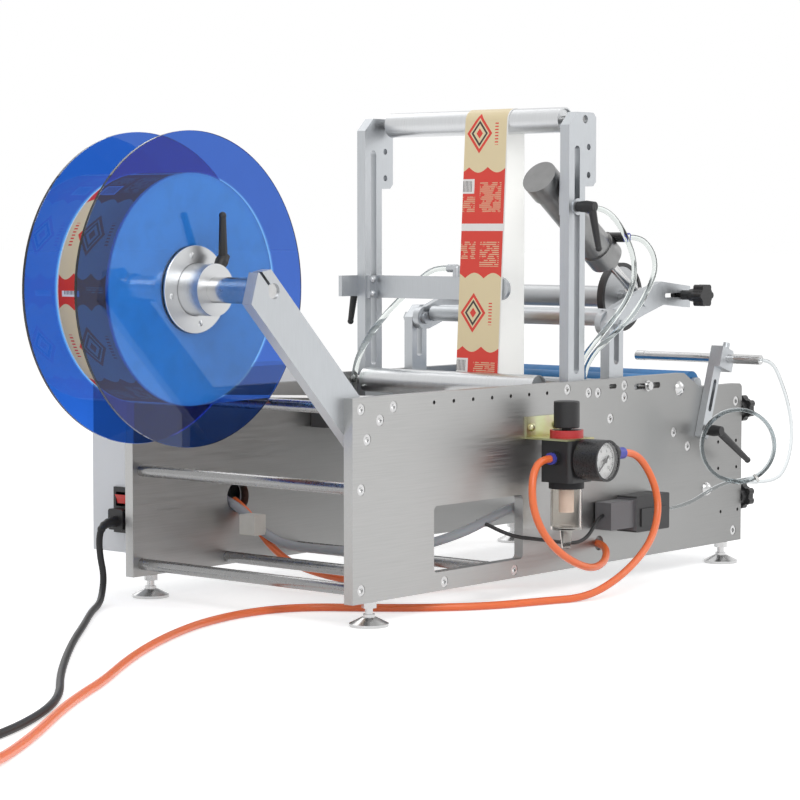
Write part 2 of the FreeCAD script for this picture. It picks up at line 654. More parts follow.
def make_reel_hub():
    """Collar, flanges and core tube that turn on the shaft, with their screws."""
    first = DISC_FRONT_Y + DISC_THICK
    core_end = DISC_REAR_Y
    collar_y = DISC_FRONT_Y - COLLAR_LONG
    front = along_y(REEL_X, REEL_Z, COLLAR_R, collar_y, first)
    flange = along_y(REEL_X, REEL_Z, FLANGE_R, first, first + 6)
    core = along_y(REEL_X, REEL_Z, CORE_R, first, core_end)
    rear_flange = along_y(REEL_X, REEL_Z, FLANGE_R, core_end - 6, core_end)
    rear = along_y(REEL_X, REEL_Z, COLLAR_R, core_end, core_end + DISC_THICK + 6)
    hub = front.fuse([flange, core, rear_flange, rear])
    bore = along_y(REEL_X, REEL_Z, REEL_SHAFT_R + RUNNING_GAP, collar_y - 1, core_end + 20)
    hollow = tube_y(REEL_X, REEL_Z, CORE_R - 4, REEL_SHAFT_R + 6, first + 8, core_end - 8)
    threads = [along_y(x, z, 2.5, first - 1, first + 6) for x, z in reel_screw_places()]
    foot, out, tip = reel_lever_frame()
    threads.append(Part.makeCylinder(LEVER_STUD_R + RUNNING_GAP, 12, foot - out * 9, out))
    screws = []
    for x, z in reel_screw_places():
        shank = along_y(x, z, 2.4, DISC_FRONT_Y, first + 5)
        head = Part.makeSphere(5.0, V(x, DISC_FRONT_Y + 1.5, z)).common(
            block(x - 6, x + 6, DISC_FRONT_Y - 6, DISC_FRONT_Y, z - 6, z + 6))
        screws.append(shank.fuse(head))
    export("reel_hub", [hub.cut([bore, hollow] + threads)] + screws)


def make_label_roll():
    y0 = DISC_FRONT_Y + DISC_THICK + 1.0
    y1 = DISC_REAR_Y - 1.0
    roll = along_y(REEL_X, REEL_Z, ROLL_R, y0, y1)
    inside = along_y(REEL_X, REEL_Z, CORE_R + 0.2, y0 + 5.0, y1 - 5.0)
    ends = [along_y(REEL_X, REEL_Z, FLANGE_R + 0.2, y0 - 1, y0 + 5.5),
            along_y(REEL_X, REEL_Z, FLANGE_R + 0.2, y1 - 5.5, y1 + 1)]
    export("label_roll", roll.cut([inside] + ends))


def reel_lever_frame():
    """Foot, outward direction and tip of the reel's clamp lever."""
    angle = radians(REEL_LEVER_ANGLE)
    y = DISC_FRONT_Y - COLLAR_LONG / 2 - 4
    out = V(cos(angle), 0, sin(angle))
    foot = V(REEL_X, y, REEL_Z) + out * (COLLAR_R + SEAT_GAP)
    return foot, out, V(REEL_X + 12, y - 8, REEL_Z + 74)


def make_reel_lever():
    foot, out, tip = reel_lever_frame()
    lever = clamp_lever(foot, out, tip)
    export("reel_clamp_lever", lever.fuse(Part.makeCylinder(LEVER_STUD_R, 9, foot - out * 8, out)))


# ---- uprights, web rollers, web ----------------------------------------------------------------
def post_outline(x, wide, top):
    left, right = x - wide / 2, x + wide / 2
    return [(left, POST_BOTTOM), (right, POST_BOTTOM), (right, top), (left + POST_CHAMFER, top),
            (left, top - POST_CHAMFER)]


def tall_post(x, y0):
    """Tall slotted upright with an ear at its top and one at its foot, on the side away from the reel."""
    left, right = x - TALL_WIDE / 2, x + TALL_WIDE / 2
    ear = x + TALL_EAR
    low = TALL_TOP - TALL_EAR_HIGH
    outline = [(left, POST_BOTTOM), (ear, POST_BOTTOM), (ear, PLATE_TOP - 2), (right, PLATE_TOP - 2),
               (right, low), (ear - 5, low), (ear, low + 5),
               (ear, TALL_TOP - 5), (ear - 5, TALL_TOP), (left + POST_CHAMFER, TALL_TOP),
               (left, TALL_TOP - POST_CHAMFER)]
    post = prism_y(outline, y0, y0 + POST_THICK)
    slot_top = TALL_TOP - TALL_SLOT_BELOW_TOP
    slot_long = slot_top - TALL_SLOT_BOTTOM
    middle = (slot_top + TALL_SLOT_BOTTOM) / 2
    cutters = [slot_y(x, middle, slot_long, SLOT_WIDE, y0 - 1, y0 + POST_THICK + 1, True)]
    for below in EAR_HOLES_BELOW_TOP:
        cutters.append(along_y(ear - 13.5, TALL_TOP - below, EAR_HOLE_R, y0 - 1, y0 + POST_THICK + 1))
    cutters.append(along_y(TOP_ROLLER_X, TOP_ROLLER_Z, ROLLER_AXLE_R, y0 - 1, y0 + POST_THICK + 1))
    return post.cut(cutters)


def short_post(y0):
    post = prism_y(post_outline(SHORT_X, SHORT_WIDE, SHORT_TOP), y0, y0 + POST_THICK)
    middle = sum(SHORT_SLOT) / 2
    slot = slot_y(SHORT_X, middle, SHORT_SLOT[1] - SHORT_SLOT[0], SLOT_WIDE, y0 - 1, y0 + POST_THICK + 1, True)
    return post.cut(slot)


def post_holes(places, y0):
    return [along_y(x, z, SCREW_SHANK_R + RUNNING_GAP, y0 - 1, y0 + POST_THICK + 1) for x, z in places]


def press_bolt(outer, side):
    """Pivot bolt of the press arm: nut outside the upright, head inside the lever."""
    inner = outer + side * (POST_THICK + SEAT_GAP + LEVER_THICK + SEAT_GAP)
    nut = hexagon((PRESS_X, outer, PRESS_Z), (0, -side, 0), 13.0, 6.5)
    y0, y1 = sorted((outer - side * 9, inner + side))
    shank = along_y(PRESS_X, PRESS_Z, PRESS_PIN_R, y0, y1)
    y0, y1 = sorted((inner, inner + side * 4))
    head = along_y(PRESS_X, PRESS_Z, 7.0, y0, y1)
    return nut.fuse([shank, head])


def make_uprights():
    front, rear = POST_FRONT[0], POST_REAR[0]
    export("tall_uprights", [tall_post(TALL_X, front).cut(post_holes(TALL_SCREWS, front)),
                             tall_post(REAR_TALL_X, rear).cut(
                                 post_holes(shifted(TALL_SCREWS, REAR_TALL_SHIFT), rear))])
    posts = [short_post(y0).cut(post_holes(SHORT_SCREWS, y0)) for y0 in (front, rear)]
    export("short_uprights", posts + [press_bolt(front, 1), press_bolt(IN_REAR, -1)])


def web_roller(x, z, axle_r):
    """A thin tube with a plug at each end that runs on the axle."""
    tube = tube_y(x, z, WEB_ROLLER_R, WEB_ROLLER_R - 1.5, ROLLER_Y[0], ROLLER_Y[1])
    plugs = [tube_y(x, z, WEB_ROLLER_R - 1.5, axle_r + RUNNING_GAP, y, y + 8)
             for y in (ROLLER_Y[0] + 2, ROLLER_Y[1] - 10)]
    return tube.fuse(plugs)


def make_web_rollers():
    export("top_web_roller", web_roller(TOP_ROLLER_X, TOP_ROLLER_Z, ROLLER_AXLE_R))
    export("lower_web_roller", web_roller(LOW_ROLLER_X, LOW_ROLLER_Z, ROLLER_AXLE_R))


def make_crossbar():
    z0, z1 = CROSSBAR_Z
    x0, x1 = CROSSBAR_X, CROSSBAR_X + CROSSBAR_THICK
    root = POST_REAR[0]
    mid, half = (z0 + z1) / 2, (z1 - z0) / 2
    strip = block(x0, x1, CROSSBAR_END_Y + half, root - 5, z0, z1)
    nose = bar((x0, CROSSBAR_END_Y + half, mid), (x1, CROSSBAR_END_Y + half, mid), half)
    flange = block(REAR_TALL_X - 12.5, REAR_TALL_X + 12.5, root - 5, root, z0, z1)
    stud = along_y(REAR_TALL_X, mid, LEVER_STUD_R, root - 1, IN_REAR + 5 + 9)
    hole = bar((x0 - 1, CROSSBAR_END_Y + half, mid), (x1 + 1, CROSSBAR_END_Y + half, mid), 3.0)
    clamp = block(REAR_TALL_X - 41, REAR_TALL_X + 15, IN_REAR, IN_REAR + 5, z0 + 2, z1)
    clamp = clamp.cut(along_y(REAR_TALL_X, mid, LEVER_STUD_R, root, IN_REAR + 10))
    middle = (x0 + x1) / 2
    ball = Part.makeSphere(4.5, V(middle, FITTING_ON_BAR_Y, z1 + 9))
    neck = along_z(middle, FITTING_ON_BAR_Y, 4.5, z1, z1 + 9)
    spout = along_y(middle, z1 + 9, 4.5, FITTING_ON_BAR_Y, FITTING_ON_BAR_Y + 12)
    heads = [Part.makeSphere(4.6, V(REAR_TALL_X - 7, root - 4.0, z)).common(
        block(REAR_TALL_X - 12, REAR_TALL_X - 2, root - 10, root - 5, z - 5, z + 5)) for z in (mid - 8, mid + 8)]
    export("crossbar", [strip.fuse([nose, flange, stud]).cut(hole), clamp, neck.fuse([spout, ball])] + heads)
    foot = V(REAR_TALL_X, IN_REAR + 5 + SEAT_GAP, mid)
    lever = clamp_lever(foot, V(0, 1, 0), V(REAR_TALL_X - 2, IN_REAR + 22, mid - 44))
    socket = along_y(REAR_TALL_X, mid, LEVER_STUD_R + RUNNING_GAP, IN_REAR, IN_REAR + 5 + 9.5)
    export("crossbar_clamp_lever", lever.cut(socket))


# ---- label web ---------------------------------------------------------------------------------
def strip_solid(points, sides, thick):
    """A bent strip. points is its middle line in XZ, sides the two edges in Y at each point."""
    count = len(points)
    ways = []
    for a, b in zip(points, points[1:]):
        way = V(b[0] - a[0], 0, b[1] - a[1])
        ways.append(way.normalize())
    rings = []
    for k in range(count):
        before, after = ways[max(k - 1, 0)], ways[min(k, count - 2)]
        middle = before + after
        middle.normalize()
        normal = V(-middle.z, 0, middle.x) * (thick / 2 / middle.dot(before))
        x, z = points[k]
        low, high = V(x, sides[k][0], z), V(x, sides[k][1], z)
        rings.append((low - normal, high - normal, high + normal, low + normal))
    faces = []
    for a, b in zip(rings, rings[1:]):
        for k in range(4):
            c = (k + 1) % 4
            faces.append(Part.Face(Part.makePolygon([a[k], a[c], b[c], a[k]])))
            faces.append(Part.Face(Part.makePolygon([a[k], b[c], b[k], a[k]])))
    for ring in (rings[0], rings[-1]):
        faces.append(Part.Face(Part.makePolygon(list(ring) + [ring[0]])))
    solid = Part.Solid(Part.Shell(faces))
    if solid.Volume < 0:
        solid.reverse()
    return solid


def arc_points(x, z, radius, start, stop):
    """Points round a circle from one angle to another, no more than 9 degrees apart."""
    steps = int(abs(stop - start) / 9) + 1
    angles = [radians(start + (stop - start) * k / steps) for k in range(steps + 1)]
    return [(x + radius * cos(a), z + radius * sin(a)) for a in angles]


def touch_angle(x0, z0, r0, x1, z1, r1, side):
    """Where the common tangent leaves the first circle. A negative r1 gives the crossed tangent."""
    along = atan2(z1 - z0, x1 - x0)
    return degrees(along + side * acos((r0 - r1) / hypot(x1 - x0, z1 - z0)))


def make_label_web():
    """The label strip: off the roll, round both web rollers, over the peel plate, through the nip."""
    lift = SEAT_GAP + WEB_THICK / 2 + 0.06
    roll_r, r, rod_r = ROLL_R + lift, WEB_ROLLER_R + lift, ROD_R + lift
    guide_r, nip_r, pull_r = GUIDE_BAR_R + lift, NIP_R + lift, TRACTION_R + lift
    rod_x, rod_z = RODS[0]
    off_roll = touch_angle(REEL_X, REEL_Z, roll_r, rod_x, rod_z, -rod_r, -1)
    off_rod = touch_angle(rod_x, rod_z, rod_r, LOW_ROLLER_X, LOW_ROLLER_Z, -r, 1)
    leave = touch_angle(LOW_ROLLER_X, LOW_ROLLER_Z, r, TOP_ROLLER_X, TOP_ROLLER_Z, -r, -1)
    down = touch_angle(TOP_ROLLER_X, TOP_ROLLER_Z, r, GUIDE_ROD_X, GUIDE_ROD_Z, -guide_r, 1)
    sheet = PEEL_TOP + lift
    start = (PEEL_X[0], sheet)
    off_guide = touch_angle(GUIDE_ROD_X, GUIDE_ROD_Z, guide_r, start[0], start[1], 0, -1)
    nose = PEEL_X[1] + lift
    below = (nose, PEEL_TOP - PEEL_THICK + 1.0)
    on_nip = touch_angle(NIP_X, NIP_Z, nip_r, below[0], below[1], 0, -1)
    first = arc_points(REEL_X, REEL_Z, roll_r, off_roll - 15, off_roll)
    first += arc_points(rod_x, rod_z, rod_r, off_roll + 180, off_rod)
    rest = arc_points(LOW_ROLLER_X, LOW_ROLLER_Z, r, off_rod - 180, leave)
    rest += arc_points(TOP_ROLLER_X, TOP_ROLLER_Z, r, leave + 180, down)
    rest += arc_points(GUIDE_ROD_X, GUIDE_ROD_Z, guide_r, down + 180, 360 + off_guide)
    rest += [start, (PEEL_X[1] + 0.1, sheet), (nose, PEEL_TOP - 0.2), below]
    rest += arc_points(NIP_X, NIP_Z, nip_r, on_nip, NIP_ANGLE - 180)
    rest += arc_points(TRACTION_X, TRACTION_Z, pull_r, NIP_ANGLE + 4, NIP_ANGLE + 110)
    wide = WEB_Y[1] - WEB_Y[0]
    roll_low = DISC_FRONT_Y + DISC_THICK + (ROLL_WIDE - wide) / 2
    sides = [(roll_low, roll_low + wide)] * len(first) + [WEB_Y] * len(rest)
    export("label_web", strip_solid(first + rest, sides, WEB_THICK))


# ---- peel plate, drive and bottle rollers ------------------------------------------------------
def make_peel_plate():
    y0, y1 = WEB_Y[0] - 20, WEB_Y[1] + 20
    outline = [(PEEL_X[0], PEEL_TOP - PEEL_THICK), (PEEL_X[1] - 7, PEEL_TOP - PEEL_THICK),
               (PEEL_X[1], PEEL_TOP - 1.5), (PEEL_X[1], PEEL_TOP), (PEEL_X[0], PEEL_TOP)]
    plate = prism_y(outline, y0, y1)
    rod = tapped_peel_bar()
    links = [block(PEEL_BAR_X - 5, PEEL_BAR_X + 5, y, y + 12, PEEL_TOP - 1, PEEL_BAR_Z) for y in (y0, y1 - 12)]
    export("peel_plate", plate.fuse([rod] + links))


def tapped_peel_bar():
    solid = along_y(PEEL_BAR_X, PEEL_BAR_Z, 5.0, IN_FRONT, IN_REAR)
    r = SCREW_SHANK_R + RUNNING_GAP
    return solid.cut([along_y(PEEL_BAR_X, PEEL_BAR_Z, r, IN_FRONT - 1, IN_FRONT + 11),
                      along_y(PEEL_BAR_X, PEEL_BAR_Z, r, IN_REAR - 11, IN_REAR + 1)])


def make_drive():
    y0, y1 = ROLLER_Y
    bore = DRIVE_AXLE_R + RUNNING_GAP
    roller = along_y(TRACTION_X, TRACTION_Z, TRACTION_R, y0, y1)
    journal = along_y(TRACTION_X, TRACTION_Z, DRIVE_AXLE_R, y1 - 1, OUT_REAR + 18)
    socket = along_y(TRACTION_X, TRACTION_Z, bore, y0 - 1, IN_FRONT + 61)
    export("traction_roller", roller.fuse(journal).cut(socket))
    export("nip_roller", tube_y(NIP_X, NIP_Z, NIP_R, bore, y0, y1))
    half = MOTOR_SIDE / 2
    x, z = TRACTION_X, TRACTION_Z
    case = block(x - half, x + half, OUT_REAR, OUT_REAR + MOTOR_LONG, z - half, z + half)
    case = round_edges(case, 4.0, runs_along_y)
    case = case.cut(along_y(x, z, bore, OUT_REAR - 1, OUT_REAR + 19))
    plug = block(x - 8, x + 8, OUT_REAR + MOTOR_LONG - 16, OUT_REAR + MOTOR_LONG - 4, z - half - 5, z - half)
    export("drive_motor", case.fuse(plug))


def hull_plate(x0, z0, r0, x1, z1, r1, y0, y1):
    """A flat arm with a round end at each of two points."""
    side = [touch_angle(x0, z0, r0, x1, z1, r1, s) for s in (1, -1)]
    corners = [(x + r * cos(radians(a)), z + r * sin(radians(a)))
               for x, z, r, a in ((x0, z0, r0, side[0]), (x0, z0, r0, side[1]), (x1, z1, r1, side[1]),
                                  (x1, z1, r1, side[0]))]
    ends = [along_y(x0, z0, r0, y0, y1), along_y(x1, z1, r1, y0, y1)]
    return prism_y(corners, y0, y1).fuse(ends)


def make_bottle_rollers():
    y0, y1 = BOTTLE_ROLLER_Y
    bore = DRIVE_AXLE_R + RUNNING_GAP
    export("rear_bottle_roller", tube_y(REAR_BOTTLE_X, REAR_BOTTLE_Z, BOTTLE_ROLLER_R, bore, y0, y1))
    export("front_bottle_roller", tube_y(FRONT_BOTTLE_X, FRONT_BOTTLE_Z, BOTTLE_ROLLER_R, bore, y0, y1))
    axle = along_y(FRONT_BOTTLE_X, FRONT_BOTTLE_Z, DRIVE_AXLE_R, IN_FRONT + SEAT_GAP, IN_REAR - SEAT_GAP)
    arms = []
    for y in (IN_FRONT + SEAT_GAP, IN_REAR - SEAT_GAP - CRADLE_THICK):
        arm = hull_plate(CRADLE_X, CRADLE_Z, CRADLE_FOOT_R, FRONT_BOTTLE_X, FRONT_BOTTLE_Z, CRADLE_TOP_R,
                         y, y + CRADLE_THICK)
        arms.append(arm.cut(along_y(CRADLE_X, CRADLE_Z, bore, y - 1, y + CRADLE_THICK + 1)))
    export("roller_arms", arms[0].fuse([axle, arms[1]]))


# ---- press arm and cylinder --------------------------------------------------------------------
LEVER_CORNERS = ((-6, -12), (7, -13), (72, 7.5), (110, 18), (162, 13.5), (162, 38), (104, 44),
                 (55, 31.5), (-9, 9))     # from the pivot
LEVER_BOLT = (70.5, 21.0)
LEVER_BOLT_R = 4.5
LEVER_BOSS_R = 13.0


def press_lever(y0, y1):
    outline = [(PRESS_X + x, PRESS_Z + z) for x, z in LEVER_CORNERS]
    plate = prism_y(outline, y0, y1).fuse(along_y(PRESS_X, PRESS_Z, LEVER_BOSS_R, y0, y1))
    cutters = [along_y(PRESS_X, PRESS_Z, PRESS_PIN_R + RUNNING_GAP, y0 - 1, y1 + 1),
               slot_y(KNOB_STUD_X - KNOB_SLOT_LONG / 2 + KNOB_STUD_R, PRESS_ROLLER_Z + 2, KNOB_SLOT_LONG,
                      2 * (KNOB_STUD_R + RUNNING_GAP), y0 - 1, y1 + 1)]
    return plate.cut(cutters)


def make_press_arm():
    front = POST_FRONT[1] + SEAT_GAP
    rear = POST_REAR[0] - SEAT_GAP
    levers = [press_lever(front, front + LEVER_THICK), press_lever(rear - LEVER_THICK, rear)]
    shaft = along_y(PRESS_SHAFT_X, PRESS_SHAFT_Z, PRESS_SHAFT_R, front + LEVER_THICK + 5, rear - LEVER_THICK - 5)
    necks = along_y(PRESS_SHAFT_X + 14, PRESS_SHAFT_Z + 4, 6.0, front + LEVER_THICK, rear - LEVER_THICK)
    axle = along_y(PRESS_ROLLER_X, PRESS_ROLLER_Z, PRESS_AXLE_R, front + 1, rear - 1)
    bolt_x, bolt_z = PRESS_X + LEVER_BOLT[0], PRESS_Z + LEVER_BOLT[1]
    heads = [along_y(bolt_x, bolt_z, LEVER_BOLT_R, y, y + 2.5) for y in (front - 2.5, rear)]
    export("press_levers", levers[0].fuse([levers[1], shaft, necks, axle] + heads))


def make_press_wheel():
    x, z = PRESS_ROLLER_X, PRESS_ROLLER_Z
    bore = PRESS_AXLE_R + RUNNING_GAP
    y0 = WHEEL_FRONT_Y
    y1 = y0 + WHEEL_THICK
    face = tube_y(x, z, WHEEL_R - TYRE_THICK, bore, y0 + 1, y1 - 1)
    hub = tube_y(x, z, 9.0, bore, y0 - 6, y1)
    roller = tube_y(x, z, PRESS_ROLLER_R, bore, y1 - 1, ROLLER_Y[1] - 3)
    tyre = tube_y(x, z, WHEEL_R, WHEEL_R - TYRE_THICK, y0, y1)
    export("press_wheel", [face.fuse([hub, roller]), tyre])


def make_press_knob():
    """Clamping knob whose stud passes through the slot of the front lever."""
    x, z = KNOB_STUD_X, PRESS_ROLLER_Z + 2
    front = POST_FRONT[1] + SEAT_GAP
    stud = along_y(x, z, KNOB_STUD_R, front - 12, front + LEVER_THICK + 5)
    collar = along_y(x, z, 5.5, front - 12, front - 0.05)
    nut = along_y(x, z, 5.5, front + LEVER_THICK + 0.05, front + LEVER_THICK + 5)
    knob = star_knob((x, front - 11, z), (0, -1, 0), 13.5, 22.0)
    export("press_knob", stud.fuse([collar, nut, knob]))


def cylinder_way():
    way = V(PRESS_ROLLER_X - CYL_X, 0, PRESS_ROLLER_Z - CYL_Z)
    return way.normalize()


def make_cylinder():
    way = cylinder_way()
    pivot = V(CYL_X, CYL_Y, CYL_Z)
    reach = hypot(PRESS_ROLLER_X - CYL_X, PRESS_ROLLER_Z - CYL_Z)
    bore = CYL_ROD_R + RUNNING_GAP

    def piece(radius, start, stop):
        return Part.makeCylinder(radius, stop - start, pivot + way * start, way)

    body = piece(CYL_R, -CYL_BACK, -CYL_BACK + 22).fuse([
        piece(CYL_R - 2, -CYL_BACK + 20, CYL_FRONT - 20), piece(CYL_R, CYL_FRONT - 22, CYL_FRONT),
        piece(CYL_NOSE_R, CYL_FRONT - 1, CYL_FRONT + CYL_NOSE)])
    boss = along_y(CYL_X, CYL_Z, 12.0, CYL_Y - CYL_R - 0.2, CYL_Y)
    inside = [piece(bore, CYL_BACK - 10, CYL_FRONT + CYL_NOSE + 1), piece(CYL_R - 5, 20, CYL_FRONT - 12),
              along_y(CYL_X, CYL_Z, TRUNNION_R + RUNNING_GAP, 0, CYL_Y - 8)]
    fittings = []
    for across, up, end_y in CYL_PORTS:
        x, z = CYL_X + across, CYL_Z + up
        ball = Part.makeSphere(6.0, V(x, CYL_Y, z))
        foot_x, foot_z = nearest_on_axis(x, z)
        neck = bar((foot_x, CYL_Y, foot_z), (x, CYL_Y, z), 5.0)
        spout = along_y(x, z, AIR_SPOUT_R, end_y + 4, CYL_Y)
        collar = along_y(x, z, COLLET_R - 1.4, end_y, end_y + 4.5)
        fittings.append(ball.fuse([neck, spout, collar]))
    export("cylinder_body", body.fuse([boss] + fittings).cut(inside))
    rod_end = reach - EYE_R - 1
    rod = piece(CYL_ROD_R, ROD_BACK, reach - PRESS_AXLE_R - EYE_SLACK - 1.5)
    piston = piece(CYL_R - 5.05, ROD_BACK, ROD_BACK + 8)
    ring = along_y(PRESS_ROLLER_X, PRESS_ROLLER_Z, EYE_R, CYL_Y - 6, CYL_Y + 6)
    nut = piece(7.0, rod_end - 8, rod_end - 3)
    hole = along_y(PRESS_ROLLER_X, PRESS_ROLLER_Z, PRESS_AXLE_R + EYE_SLACK, CYL_Y - 7, CYL_Y + 7)
    export("cylinder_rod", rod.fuse([piston, nut, ring]).cut(hole))


def nearest_on_axis(x, z):
    way = cylinder_way()
    along = (x - CYL_X) * way.x + (z - CYL_Z) * way.z
    return CYL_X + way.x * along, CYL_Z + way.z * along


def make_cylinder_bracket():
    """Plate clamped to the front tall upright. It carries the cylinder's trunnion pin."""
    y0 = POST_FRONT[1]
    y1 = y0 + 4.5
    plate = block(TALL_X - 10, CYL_X + 13, y0, y1, CLAMP_Z - 9, CYL_Z + 18)
    pin = along_y(CYL_X, CYL_Z, TRUNNION_R, y0 + 1, CYL_Y - 9)
    stud = along_y(TALL_X, CLAMP_Z, LEVER_STUD_R, IN_FRONT - 9, y0 + 1)
    washer = along_y(TALL_X, CLAMP_Z, 9.0, IN_FRONT - 1.5, IN_FRONT).cut(
        along_y(TALL_X, CLAMP_Z, LEVER_STUD_R + RUNNING_GAP, IN_FRONT - 2, IN_FRONT + 1))
    export("cylinder_bracket", [plate.fuse([pin, stud]), washer])
    foot = V(TALL_X, IN_FRONT - 1.5 - SEAT_GAP, CLAMP_Z)
    lever = clamp_lever(foot, V(0, -1, 0), V(TALL_X + 2, IN_FRONT - 28, CLAMP_Z - 48), hub_long=22.0)
    socket = along_y(TALL_X, CLAMP_Z, LEVER_STUD_R + RUNNING_GAP, IN_FRONT - 9.5, IN_FRONT)
    export("cylinder_clamp_lever", lever.cut(socket))


# ---- air regulator -----------------------------------------------------------------------------
def runs_along_z(edge):
    a, b = edge.Vertexes[0].Point, edge.Vertexes[-1].Point
    return abs(a.x - b.x) < 0.01 and abs(a.y - b.y) < 0.01 and abs(a.z - b.z) > 1


def make_regulator():
    x, y = REG_X, REG_Y
    half = REG_BODY / 2
    z0, z1 = REG_BODY_Z
    left_x, right_x = REG_BRACKET_X
    wall = block(left_x, right_x, -2, 0, z1, REG_BRACKET_TOP)
    shelf = block(left_x, right_x - 12, y - half, 0, z1, z1 + 2)
    cutters = [along_z(x, y, REG_NECK_R, z1 - 1, z1 + 3)]
    screws = []
    for screw_x in (left_x + 8, right_x - 8):
        head = Part.makeSphere(4.5, V(screw_x, -2, z1 + 12))
        screws.append(head.common(block(screw_x - 5, screw_x + 5, -7, -2, z1 + 7, z1 + 17)))
    export("regulator_bracket", [wall.fuse(shelf).cut(cutters)] + screws)
    body = block(x - half, x + half, y - half, y + half, z0, z1)
    body = round_edges(body, 5.0, runs_along_z)
    parts = [along_z(x, y, REG_NECK_R, z1, z1 + 3), along_z(x, y, REG_RING_R, z1 + 2, z1 + 10),
             along_z(x, y, REG_STEM_R, z1, REG_KNOB_TOP - 14),
             along_y(x, GAUGE_Z, 5.0, REG_FACE_Y - 4, REG_FACE_Y),
             along_x(y, REG_PORT_Z, FITTING_R, x - half - 5, x - half),
             along_x(y, REG_PORT_Z, COLLET_R, REG_LEFT_END, x - half - 5),
             along_x(y, REG_PORT_Z, FITTING_R, x + half, x + half + 34),
             along_x(y, REG_PORT_Z - 1, FITTING_R + 1.5, x + half + 34, x + half + 66),
             along_x(y, REG_PORT_Z - 2.5, COLLET_R, x + half + 65, REG_RIGHT_END)]
    export("regulator_body", body.fuse(parts))
    knob = along_z(x, y, REG_KNOB_R, z1 + 12, REG_KNOB_TOP)
    knob = round_edges(knob, 1.5, lambda edge: edge.Closed)
    export("regulator_knob", knob.cut(along_z(x, y, REG_STEM_R + RUNNING_GAP, z1, REG_KNOB_TOP - 13.5)))
    cup = along_z(x, y, REG_BOWL_R, REG_BOWL_BOTTOM, z0)
    cup = cup.cut(along_z(x, y, REG_BOWL_R - 2, REG_BOWL_BOTTOM + 3, z0 + 1))
    filter_core = along_z(x, y, 8.0, REG_BOWL_BOTTOM + 18, z0)
    drain = cone_z(x, y, 4.5, 7.0, REG_DRAIN_BOTTOM, REG_BOWL_BOTTOM)
    collar = tube_z(x, y, REG_BOWL_R + 2, REG_BOWL_R, z0 - 7, z0)
    export("regulator_bowl", [cup, filter_core, drain, collar])


def tube_z(x, y, outer, inner, z0, z1):
    return along_z(x, y, outer, z0, z1).cut(along_z(x, y, inner, z0 - 1, z1 + 1))


def make_gauge():
    x, z = REG_X, GAUGE_Z
    back = REG_FACE_Y - 4
    front = GAUGE_FACE_Y
    case = along_y(x, z, GAUGE_R, front, back)
    cavity = along_y(x, z, GAUGE_R - 2.5, front - 1, front + 6)
    pin = along_y(x, z, NEEDLE_PIN_R, front + 2.2, front + 6)
    lens = along_y(x, z, GAUGE_R - 2.5, front + 0.5, front + 1.5)
    export("pressure_gauge", [case.cut(cavity).fuse(pin), lens])
    y0, y1 = front + 3.0, front + 3.8
    angle = radians(NEEDLE_ANGLE)
    tip = (x + 15.5 * cos(angle), z + 15.5 * sin(angle))
    tail = (x - 6.5 * cos(angle), z - 6.5 * sin(angle))
    blade = hull_plate(x, z, 1.3, tip[0], tip[1], 0.4, y0, y1)
    back_end = hull_plate(x, z, 1.3, tail[0], tail[1], 1.0, y0, y1)
    hub = along_y(x, z, 2.6, y0, y1)
    export("gauge_needle", blade.fuse([back_end, hub]).cut(
        along_y(x, z, NEEDLE_PIN_R + RUNNING_GAP, y0 - 1, y1 + 1)))


# ---- label sensor and its amplifier ------------------------------------------------------------
def on_bar(along, across):
    """A place on the leaning sensor bar, as X and Z."""
    a = radians(SENSOR_LEAN)
    return (SENSOR_X + along * sin(a) + across * cos(a), SENSOR_Z + along * cos(a) - across * sin(a))


def bar_outline(corners):
    return [on_bar(along, across) for along, across in corners]


